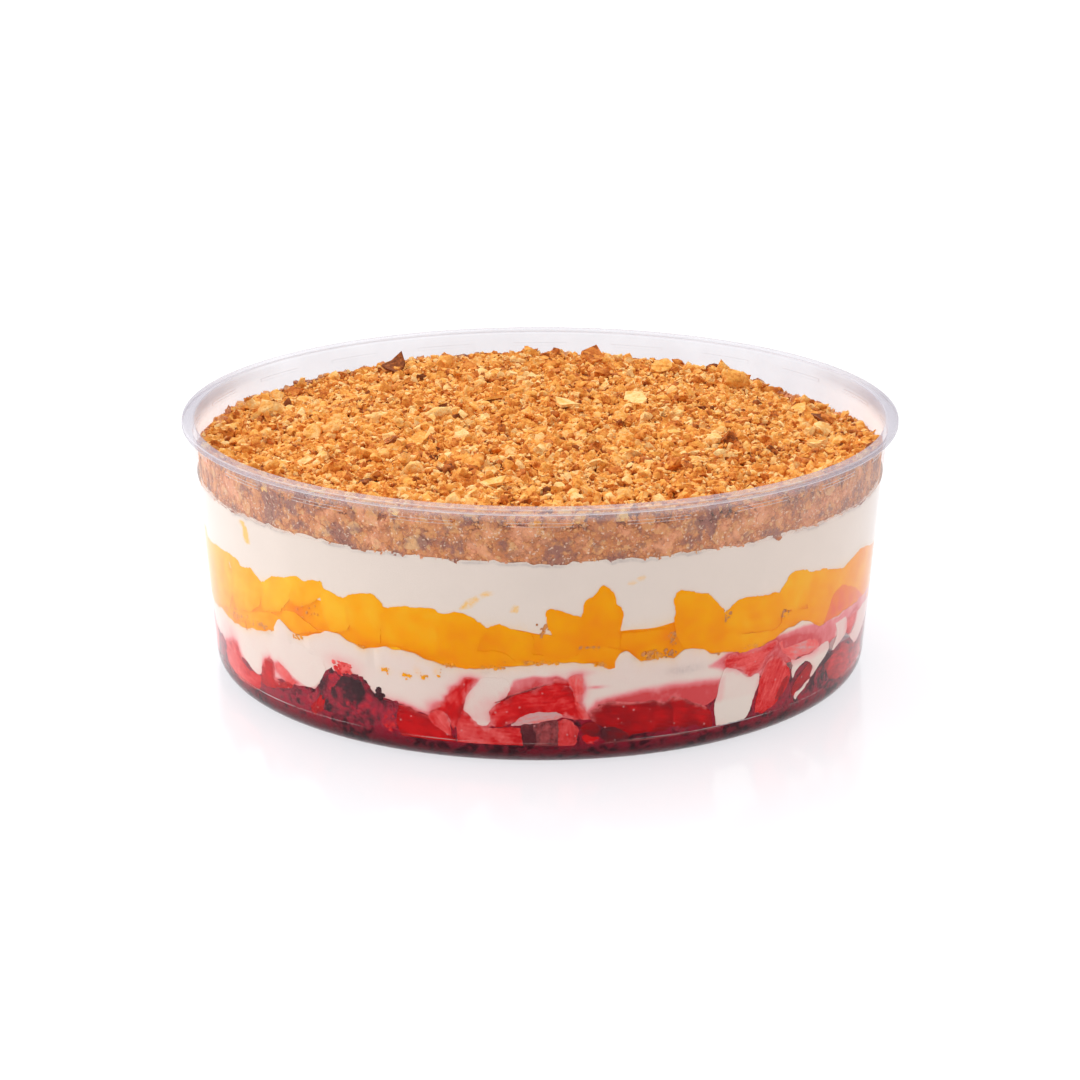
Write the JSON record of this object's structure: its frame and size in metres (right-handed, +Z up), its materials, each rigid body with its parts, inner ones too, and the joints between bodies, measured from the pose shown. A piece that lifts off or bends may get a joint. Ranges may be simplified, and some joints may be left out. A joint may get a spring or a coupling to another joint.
{
  "type": "trifle",
  "caption": "Layered fruit trifle in a round clear plastic tub: berries in jelly, cream, diced peach, cream and a baked crumb topping",
  "frame": {"origin": "centre of the tub's base, on the surface that it stands on", "axes": "+Z up along the tub's axis, -Y towards the side that shows at the front"},
  "size_m": [0.19, 0.19, 0.0675],
  "materials": {
    "tub": "clear polypropylene, faintly lilac, glossy",
    "berries": "wet strawberries and dark berries in a red jelly",
    "cream": "smooth whipped cream, softly shiny against the wall",
    "peach": "wet diced peach",
    "crumb": "dry baked crumbs, golden to brown"
  },
  "bodies": {
    "root": {"tub": "tub", "berry_layer": "berries", "lower_cream": "cream", "peach_layer": "peach", "upper_cream": "cream", "crumb_topping": "crumb"}
  },
  "joints": []
}
